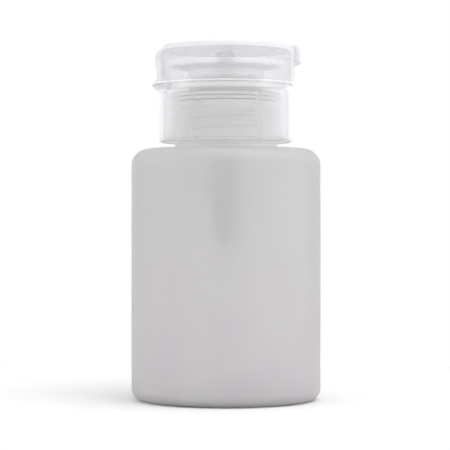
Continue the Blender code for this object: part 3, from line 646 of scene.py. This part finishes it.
collar = {
    "radius": 19.8,
    "bottom": 76.05,
    "deck": 92.7,
    "deckUnder": 91.4,
    "skirtBore": 18.6,
    "sleeve": 17.6,
    "sleeveBore": 16.45,
    "sleeveBottom": 77.05,
    "ledgeBore": 11.8,
    "ledgeUnder": 90.7,
    "ledgeTop": 91.9,
    "upstand": 18.8,
    "upstandBore": 17.5,
    "upstandTop": 95.0,
    "recessTop": 90.4,
    "recessBottom": 85.5,
    "recessDepth": 0.25,
    "recessEdge": 0.05,
    "recessHalfAngle": 29,
    "recessEase": 0.25,
    "ridgeFrom": 85.0,
    "threadStart": 80.05,
    "threadTurns": 2.25,
    "threadSkin": 0.25,
}


def collarOutline(inset):
    # The recess is a shallow step in the outer wall, nothing where inset is 0.
    c = collar
    edge = c["recessEdge"]
    return outlineOf(
        [
            (c["radius"], c["deck"], 0.3, 18),
            (c["radius"], c["recessTop"] + edge, 0, 1),
            (c["radius"] - inset, c["recessTop"] - edge, 0, 6),
            (c["radius"] - inset, c["recessBottom"] + edge, 0, 1),
            (c["radius"], c["recessBottom"] - edge, 0, 10),
            (c["radius"], c["bottom"], 1.0, 1),
            (c["skirtBore"], c["bottom"], 0.2, 12),
            (c["skirtBore"], c["deckUnder"], 0.3, 1),
            (c["sleeve"], c["deckUnder"], 0.3, 12),
            (c["sleeve"], c["sleeveBottom"], 0.2, 1),
            (c["sleeveBore"], c["sleeveBottom"], 0.2, 75),
            (c["sleeveBore"], c["ledgeUnder"], 0.2, 3),
            (c["ledgeBore"], c["ledgeUnder"], 0.15, 1),
            (c["ledgeBore"], c["ledgeTop"], 0.2, 3),
            (c["upstandBore"], c["ledgeTop"], 0.3, 3),
            (c["upstandBore"], c["upstandTop"], 0.4, 1),
            (c["upstand"], c["upstandTop"], 0.4, 3),
            (c["upstand"], c["deck"], 0.2, 4),
        ],
        arcSteps=5,
    )


def makeCollar():
    # The outline turned round the axis, stepped in by the recess within its sector. The outer wall
    # is the larger of that and the hinge ridge, and the sleeve's bore is less the thread's rise.
    c = collar
    # Closer angles along the hinge ridge, at both sides of the recess and at both ends of the ridge.
    closer = [(180, 42, 0.6), (151, 1.2, 0.15), (209, 1.2, 0.15), (141, 3, 0.25), (219, 3, 0.25)]
    angles = denseAngles(200, closer)
    plain, cut = collarOutline(0), collarOutline(c["recessDepth"])
    share = sectorShare(angles, 180, c["recessHalfAngle"], c["recessEase"])[None]
    across = plain[:, :1] + (cut - plain)[:, :1] * share
    up = plain[:, 1:] + (cut - plain)[:, 1:] * share
    outside = (across > (c["radius"] - hinge["skin"]) * mm) & (up > c["ridgeFrom"] * mm)
    ridge = ridgeReach(angles, c["deck"] * mm - up, hinge["collarSlope"])
    across = np.where(outside, softMax(across, ridge, hinge["blend"] * mm), across)
    onSleeve = np.abs(across - c["sleeveBore"] * mm) < c["threadSkin"] * mm
    threaded = onSleeve & (up < c["ledgeUnder"] * mm)
    across = across - threaded * threadRise(angles, up, c["threadStart"], c["threadTurns"])
    shell = (aroundAxis(across, up, angles), True, True)
    place("collar_shell", [shell], "closure", "collar", collarPlastic)


makeCollar()
print("collar made")


# Flip lid

lid = {
    "top": 104.5,
    "bottom": 93.0,
    "ceiling": 103.3,
    "radius": 20.3,
    "bore": 19.3,
    "bandRadius": 20.6,
    "bandBottom": 99.8,
    "topRound": 1.1,
    "plugRadius": 3.2,
    "plugBore": 2.3,
    "plugBottom": 99.0,
    "hoodRadius": 21.3,
    "hoodTop": 104.1,
    "hoodBottom": 94.7,
    "hoodLean": 0.9,
    "hoodRound": 3.4,
    "hoodHalfAngle": 28.5,
    "tabReach": 22.2,
    "tabTop": 104.0,
    "tabBottom": 99.4,
    "tabHalfAngle": 18,
    "hoodEase": 0.3,
    "tabEase": 0.35,
    "ridgeTo": 97.0,
}


def lidOutline(shoulder):
    # The shoulder is what differs between the plain lid, its hood and its tab.
    l = lid
    return outlineOf(
        [
            (0, l["top"], 0, 6),
            *shoulder,
            (l["radius"], l["bottom"], 0.25, 1),
            (l["bore"], l["bottom"], 0.25, 10),
            (l["bore"], l["ceiling"], 0.9, 10),
            (l["plugRadius"], l["ceiling"], 0.4, 4),
            (l["plugRadius"], l["plugBottom"], 0.25, 1),
            (l["plugBore"], l["plugBottom"], 0.25, 4),
            (l["plugBore"], l["ceiling"], 0.3, 2),
            (0, l["ceiling"]),
        ],
        closed=False,
        arcSteps=8,
    )


def makeLid():
    # A mix of three turned outlines by the angle: plain, with the hood over the hinge, and with the
    # tab opposite. Low down, the outer wall is the larger of that and the hinge ridge.
    l = lid
    hoodInner = l["hoodRadius"] - l["hoodRound"]
    plain = lidOutline(
        [
            (hoodInner - 0.1, l["top"], 0, 1),
            (hoodInner + 0.1, l["top"], 0, 3),
            (l["bandRadius"], l["top"], l["topRound"], 8),
            (l["bandRadius"], l["bandBottom"], 0.12, 1),
            (l["radius"], l["bandBottom"] - 0.02, 0.1, 24),
        ]
    )
    hood = lidOutline(
        [
            (hoodInner - 0.02, l["top"], 0, 1),
            (hoodInner + 0.02, l["hoodTop"], 0, 3),
            (l["hoodRadius"], l["hoodTop"], l["hoodRound"], 8),
            (l["hoodRadius"] - l["hoodLean"], l["hoodBottom"], 0.1, 1),
            (l["radius"], l["hoodBottom"] - 0.02, 0.1, 24),
        ]
    )
    tab = lidOutline(
        [
            (hoodInner - 0.1, l["top"], 0, 1),
            (hoodInner + 0.1, l["top"], 0, 3),
            (l["tabReach"] - 0.35, l["tabTop"] + 0.35, 1.4, 8),
            (l["tabReach"], l["tabBottom"], 0.3, 1),
            (l["radius"], l["tabBottom"] - 0.02, 0.1, 24),
        ]
    )
    half, tabHalf = l["hoodHalfAngle"], l["tabHalfAngle"]
    # Closer angles along the hinge ridge, at the sides of hood and tab, and at the ridge's ends.
    closer = [(180, 42, 0.5), (141, 3, 0.2), (219, 3, 0.2)]
    closer += [(side, 1.5, 0.1) for side in (180 - half, 180 + half, tabHalf, -tabHalf)]
    angles = denseAngles(240, closer)
    hoodShare = sectorShare(angles, 180, half, l["hoodEase"])[None, :, None]
    tabShare = sectorShare(angles, 0, tabHalf, l["tabEase"])[None, :, None]
    line = plain[:, None] + (hood - plain)[:, None] * hoodShare + (tab - plain)[:, None] * tabShare
    across, up = line[..., 0], line[..., 1]
    ridge = ridgeReach(angles, up - l["bottom"] * mm, hinge["lidSlope"])
    outside = (across > (l["radius"] - hinge["skin"]) * mm) & (up < l["ridgeTo"] * mm)
    across = np.where(outside, softMax(across, ridge, hinge["blend"] * mm), across)
    shell = (aroundAxis(across, up, angles), False, True)
    place("lid_shell", [shell], "lid", "flip_lid", lidPlastic)


makeLid()
print("lid made")


# Dish and what it moves

dish = {
    "outline": [
        (17.0, 99.9, 0.3, 1),
        (17.0, 98.3, 0.8, 2),
        (11.3, 97.4, 0.8, 8),
        (11.3, 85.0, 0.1, 1),
        (10.4, 85.0, 0.1, 8),
        (10.4, 95.0, 0.4, 4),
        (4.2, 95.0, 0.4, 6),
        (4.2, 86.5, 0.15, 1),
        (2.3, 86.5, 0.15, 4),
        (2.3, 93.5, 0, 1),
        (0.8, 93.5, 0, 1),
        (0.8, 94.2, 0, 1),
        (1.85, 95.25, 0.1, 2),
        (1.85, 97.6, 0, 1),
        (3.5, 97.6, 0, 1),
        (3.5, 98.7, 0.1, 1),
        (4.2, 98.7, 0.35, 3),
        (4.2, 96.0, 0.4, 6),
        (9.2, 96.0, 1.2, 3),
        (10.6, 98.3, 1.2, 6),
        (16.2, 99.2, 0.3, 1),
        (16.2, 99.9, 0.3, 1),
    ],
}
bowl = turned(dish["outline"], count=200)
place("dish_shell", [bowl], "plunger", "press_dish", dishPlastic)

stem = {
    "paleFrom": 78.0,
    "outline": [
        (2.0, 93.2, 0.1),
        (2.0, 76.0),
        (2.8, 76.0, 0.1),
        (2.8, 75.2, 0.1),
        (2.0, 75.2),
        (2.0, 70.8),
        (2.8, 70.8, 0.1),
        (2.8, 70.0, 0.1),
        (0.9, 70.0),
        (0.9, 93.2),
    ],
}
rod = turned(stem["outline"], count=64, arcSteps=3)
# Below its pale top the stem has the pump's painted shade.
finishAbove(place("stem_rod", [rod], "plunger", "stem", pumpPaintedShade), stem["paleFrom"], paleCup)

piston = {
    "outline": [
        (3.3, 74.9, 0.05),
        (3.3, 74.0, 0.1),
        (2.95, 73.65, 0.1),
        (2.95, 72.35, 0.1),
        (3.3, 72.0, 0.1),
        (3.3, 71.1, 0.05),
        (2.3, 71.1),
        (2.3, 74.9),
    ],
}
sleeve = turned(piston["outline"], count=64, arcSteps=3)
# The piston sleeve has the pump's painted shade.
place("piston_sleeve", [sleeve], "plunger", "piston", pumpPaintedShade)

insert = {
    "radius": 3.2,
    "flatRadius": 2.9,
    "top": 98.7,
    "bottom": 97.9,
    "edge": 0.25,
    "holes": 6,
    "holeRadius": 0.35,
    "circle": 1.28,
    "innerCircle": 0.64,
}


def perforated(disc):
    # Each hole has a patch of its own, from its edge out to the borders of its sector: the flat's
    # rim, the two sides and the inner circle. The middle hole's patch lies inside the inner circle.
    step = math.pi / disc["holes"]
    count = 9  # points along each border
    rings = 5
    way = np.arange(count) / count
    flatRadius, innerRadius = disc["flatRadius"], disc["innerCircle"]
    rim = np.stack([np.full(count, flatRadius), -step + 2 * step * way], 1)
    sideIn = np.stack([flatRadius + (innerRadius - flatRadius) * way, np.full(count, step)], 1)
    inner = np.stack([np.full(count, innerRadius), step - 2 * step * way], 1)
    sideOut = np.stack([innerRadius + (flatRadius - innerRadius) * way, np.full(count, -step)], 1)
    polar = np.concatenate([rim, sideIn, inner, sideOut])
    border = polar[:, :1] * np.stack([np.cos(polar[:, 1]), np.sin(polar[:, 1])], 1)
    middle = np.array([disc["circle"], 0.0])
    toBorder = border - middle
    edge = middle + toBorder / np.linalg.norm(toBorder, axis=1, keepdims=True) * disc["holeRadius"]
    spread = np.linspace(0, 1, rings)[:, None, None]
    flat = edge + (border - edge) * spread
    ring = border[2 * count : 3 * count + 1][::-1]
    hub = ring * disc["holeRadius"] / innerRadius
    hubFlat = hub + (ring - hub) * spread
    patches = []
    for turn in 2 * step * np.arange(disc["holes"]):
        spin = np.array([[math.cos(turn), math.sin(turn)], [-math.sin(turn), math.cos(turn)]])
        for shape, closedColumns in ((flat, True), (hubFlat, False)):
            plane = shape @ spin
            flatUp = np.zeros((*plane.shape[:2], 1))
            top = np.concatenate([plane, flatUp + disc["top"]], -1) * mm
            low = np.concatenate([plane, flatUp + disc["bottom"]], -1) * mm
            patches.append((top, False, closedColumns))
            patches.append((low[::-1], False, closedColumns))
            patches.append((np.stack([low[0], top[0]]), False, closedColumns))
    turns = (2 * step * np.arange(disc["holes"])[:, None] + rim[None, :, 1]).ravel()
    side = outlineOf(
        [
            (flatRadius, disc["top"]),
            (disc["radius"], disc["top"], disc["edge"]),
            (disc["radius"], disc["bottom"], disc["edge"] / 2),
            (flatRadius, disc["bottom"]),
        ],
        closed=False,
        arcSteps=4,
    )
    patches.append((aroundAxis(side[:, :1], side[:, 1:], turns), False, True))
    return patches


place("insert_disc", perforated(insert), "plunger", "outlet_insert", paleCup)
print("dish and stem made")


# Pump, valves and tube

pump = {
    "cupBottom": 78.4,
    "outline": [
        (15.1, 90.4, 0.15, 1),
        (15.1, 89.5, 0.15, 2),
        (12.8, 89.5, 0.1, 8),
        (12.8, 78.6, 0.8, 6),
        (4.3, 78.6, 0.3, 16),
        (4.3, 53.0, 0.5, 3),
        (3.0, 49.5, 0.3, 3),
        (3.0, 45.49, 0.2, 1),
        (1.9, 45.49, 0.1, 3),
        (1.9, 49.99, 0, 1),
        (1.1, 49.99, 0, 1),
        (1.1, 50.79, 0, 1),
        (2.2, 52.2, 0, 2),
        (2.2, 56.0, 0, 1),
        (3.6, 56.0, 0, 16),
        (3.6, 79.5, 0.1, 6),
        (11.8, 79.5, 0.6, 8),
        (11.8, 90.4, 0.15, 2),
    ],
}
housing = turned(pump["outline"], count=128, arcSteps=4)
# The pump below its cup has painted shade; the cup keeps its own pale colour.
pumpBody = place("pump_body", [housing], "closure", "pump_housing", pumpPaintedShade)
finishAbove(pumpBody, pump["cupBottom"], paleCup)

guide = {
    "outline": [
        (6.0, 81.0, 0.3),
        (6.0, 79.8, 0.1),
        (3.3, 79.8, 0.1),
        (3.3, 76.3, 0.2),
        (2.3, 76.3, 0.1),
        (2.3, 81.0, 0.3),
    ],
}
bush = turned(guide["outline"], count=80, arcSteps=4)
place("guide_bush", [bush], "closure", "stem_guide", paleCup)

retainer = {
    "radius": 3.3,
    "flatRadius": 3.15,
    "top": 57.1,
    "bottom": 56.3,
    "edge": 0.1,
    "holes": 5,
    "holeRadius": 0.5,
    "circle": 1.485,
    "innerCircle": 0.74,
}
# The ball retainer has the pump's painted shade.
place("retainer_disc", perforated(retainer), "closure", "ball_retainer", pumpPaintedShade)

balls = {
    "inletRadius": 1.6,
    "inletHeight": 52.47,
    "outletRadius": 1.25,
    "outletHeight": 95.59,
}


def ballPatch(radius, height):
    # A ball: across is the sine and up the cosine of the angle down from its top.
    down = np.linspace(0, math.pi, 25)[:, None]
    across, up = radius * mm * np.sin(down), (height + radius * np.cos(down)) * mm
    return (aroundAxis(across, up, evenAngles(48)), False, True)


inlet = ballPatch(balls["inletRadius"], balls["inletHeight"])
outlet = ballPatch(balls["outletRadius"], balls["outletHeight"])
place("inlet_bead", [inlet], "inlet_valve", "inlet_ball", steel)
place("outlet_bead", [outlet], "outlet_valve", "outlet_ball", steel)

spring = {
    "wireRadius": 0.25,
    "coilRadius": 2.6,
    "turns": 8,
    "stepsPerTurn": 40,
    "bottom": 57.65,
    "top": 69.45,
    "fixedEnd": 57.4,
    "pressedShare": 0.5935,
}


def springPatch():
    # A ring of points carried along a helix: one side of the ring points away from the axis, the
    # other is square to that and to the wire. Both ends close to a point.
    s = spring
    turn = np.linspace(0, 2 * math.pi * s["turns"], s["turns"] * s["stepsPerTurn"] + 1)
    turn = np.concatenate([turn[:1], turn, turn[-1:]])[::-1, None, None]
    climb = (s["top"] - s["bottom"]) / (2 * math.pi * s["turns"])
    slope = math.hypot(s["coilRadius"], climb)
    outward = np.concatenate([np.cos(turn), np.sin(turn), 0 * turn], -1)
    square = np.concatenate([climb * np.sin(turn), -climb * np.cos(turn), 0 * turn + s["coilRadius"]], -1)
    square = square / slope
    height = np.concatenate([0 * turn, 0 * turn, s["bottom"] + climb * turn], -1)
    centre = outward * s["coilRadius"] + height
    thick = np.full(len(turn), s["wireRadius"])
    thick[[0, -1]] = 0
    around = evenAngles(12)[None, :, None]
    ring = outward * np.cos(around) - square * np.sin(around)
    return ((centre + ring * thick[:, None, None]) * mm, False, True)


coil = place("spring_coil", [springPatch()], "closure", "return_spring", steel)
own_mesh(coil)

tube = {
    "outline": [(1.6, 49.69, 0.1, 30), (1.6, 5.4, 0.1, 1), (1.1, 5.4, 0.1, 30), (1.1, 49.69, 0.1, 1)],
}
pipe = turned(tube["outline"], count=48, arcSteps=3)
place("dip_pipe", [pipe], "closure", "dip_tube", softTube)

washer = {
    "outline": [(15.1, 89.2, 0.15), (15.1, 88.3, 0.15), (13.3, 88.3, 0.15), (13.3, 89.2, 0.15)],
}
ring = turned(washer["outline"], count=128, arcSteps=3)
place("foam_washer", [ring], "neck_seal", "gasket", foam)
print("pump, valves and tube made")


# Room

room = {
    "floorHalf": 4.0,
    "floorColour": (0.93, 0.93, 0.93),
    "floorRoughness": 0.9,
    "fadeStart": 0.04,  # metres from the bottle's axis, where the floor begins to turn plain white
    "fadeEnd": 0.16,
    "frontLevel": 1.0,
    "roundLevel": 0.8,
    "frontEdge": 0.36,  # cosine of the angle from the camera's side at which the front part ends
    "frontSoftness": 0.03,
    "frontLean": 0.05,
    "lampTarget": (0, 0, 0.052),
}
softboxes = {
    # Where it hangs, its size, and the level of its light at the bottle.
    "softboxLeft": ((-0.75, 0.05, 0.20), (0.5, 0.6), 0.14),
    "softboxRight": ((0.75, 0.05, 0.20), (0.5, 0.6), 0.13),
    "softboxKey": ((0.3, -0.3, 0.75), (0.5, 0.5), 0.24),
    "softboxTop": ((0.1, 0.1, 0.9), (0.4, 0.4), 0.09),
}
cameraFit = {
    "place": (-0.0003, -0.520, 0.0517),
    "lens": 140.36,
    "sensor": 36.0,
}


def whiteRays(tree):
    # 1 for what the camera sees directly, in a reflection or through a clear piece.
    path = node(tree, "ShaderNodeLightPath")
    seen = sums(tree, "MAXIMUM", path.outputs["Is Camera Ray"], path.outputs["Is Glossy Ray"])
    return sums(tree, "MAXIMUM", seen, path.outputs["Is Transmission Ray"])


def makeFloor():
    half = room["floorHalf"]
    corners = [(-half, -half, 0), (half, -half, 0), (half, half, 0), (-half, half, 0)]
    mesh = bpy.data.meshes.new("floor")
    mesh.from_pydata(corners, [], [(0, 1, 2, 3)])
    floor = bpy.data.objects.new("floor", mesh)
    bpy.context.scene.collection.objects.link(floor)
    material, tree, shader = newMaterial("paleFloor")
    shader.inputs["Base Color"].default_value = (*room["floorColour"], 1)
    shader.inputs["Roughness"].default_value = room["floorRoughness"]
    shader.inputs["Specular IOR Level"].default_value = 0.0
    position = node(tree, "ShaderNodeTexCoord").outputs["Object"]
    away = node(tree, "ShaderNodeVectorMath", {0: position}, operation="LENGTH").outputs["Value"]
    fade = ramp(tree, away, room["fadeStart"], room["fadeEnd"], interpolation_type="SMOOTHSTEP")
    white = node(tree, "ShaderNodeEmission", {"Color": (1, 1, 1, 1), "Strength": 1.0})
    share = sums(tree, "MULTIPLY", fade, whiteRays(tree))
    mixed = node(tree, "ShaderNodeMixShader", {0: share, 1: shader.outputs[0], 2: white.outputs[0]})
    tree.links.new(mixed.outputs[0], tree.nodes["Material Output"].inputs["Surface"])
    mesh.materials.append(material)


def makeWorld():
    # A white tent, brighter on the camera's side than round about, and plain white wherever it is
    # seen directly, in a reflection or through a clear piece.
    world = bpy.data.worlds.new("studio")
    bpy.context.scene.world = world
    world.use_nodes = True
    tree = world.node_tree
    background = tree.nodes["Background"]
    direction = node(tree, "ShaderNodeTexCoord").outputs["Generated"]
    way = node(tree, "ShaderNodeSeparateXYZ", {0: direction})
    front = sums(tree, "MULTIPLY", way.outputs["Y"], -1.0)
    forward = sums(tree, "MULTIPLY_ADD", way.outputs["X"], room["frontLean"], front)
    edge, soft = room["frontEdge"], room["frontSoftness"]
    rest = ramp(tree, forward, edge + soft, edge - soft)
    change = room["roundLevel"] - room["frontLevel"]
    level = sums(tree, "MULTIPLY_ADD", rest, change, room["frontLevel"])
    camera = node(tree, "ShaderNodeLightPath").outputs["Is Camera Ray"]
    seen = sums(tree, "MAXIMUM", camera, sums(tree, "MULTIPLY", rest, whiteRays(tree)))
    shown = node(tree, "ShaderNodeMix", {0: seen, 2: level, 3: 1.0}, data_type="FLOAT")
    tree.links.new(shown.outputs[0], background.inputs["Strength"])
    background.inputs["Color"].default_value = (1, 1, 1, 1)


def softbox(name, spot, size, level):
    # A soft lamp whose light arrives at the bottle at this level, whatever its size and distance:
    # its energy is the level times the square of pi times the distance.
    lamp = bpy.data.lights.new(name, "AREA")
    lamp.shape = "RECTANGLE"
    lamp.size, lamp.size_y = size
    holder = bpy.data.objects.new(name, lamp)
    bpy.context.scene.collection.objects.link(holder)
    toward = np.array(room["lampTarget"]) - np.array(spot)
    distance = float(np.linalg.norm(toward))
    lamp.energy = level * (math.pi * distance) ** 2
    holder.location = spot
    holder.rotation_euler = mathutils.Vector(toward).to_track_quat("-Z", "Y").to_euler()


def makeCamera():
    lens = bpy.data.cameras.new("camera")
    lens.sensor_width = cameraFit["sensor"]
    lens.lens = cameraFit["lens"]
    holder = bpy.data.objects.new("camera", lens)
    bpy.context.scene.collection.objects.link(holder)
    holder.location = cameraFit["place"]
    holder.rotation_euler = (math.pi / 2, 0, 0)
    bpy.context.scene.camera = holder


makeFloor()
makeWorld()
for boxName, (spot, size, level) in softboxes.items():
    softbox(boxName, spot, size, level)
makeCamera()
bpy.context.scene.view_settings.view_transform = "Standard"
print("room made")
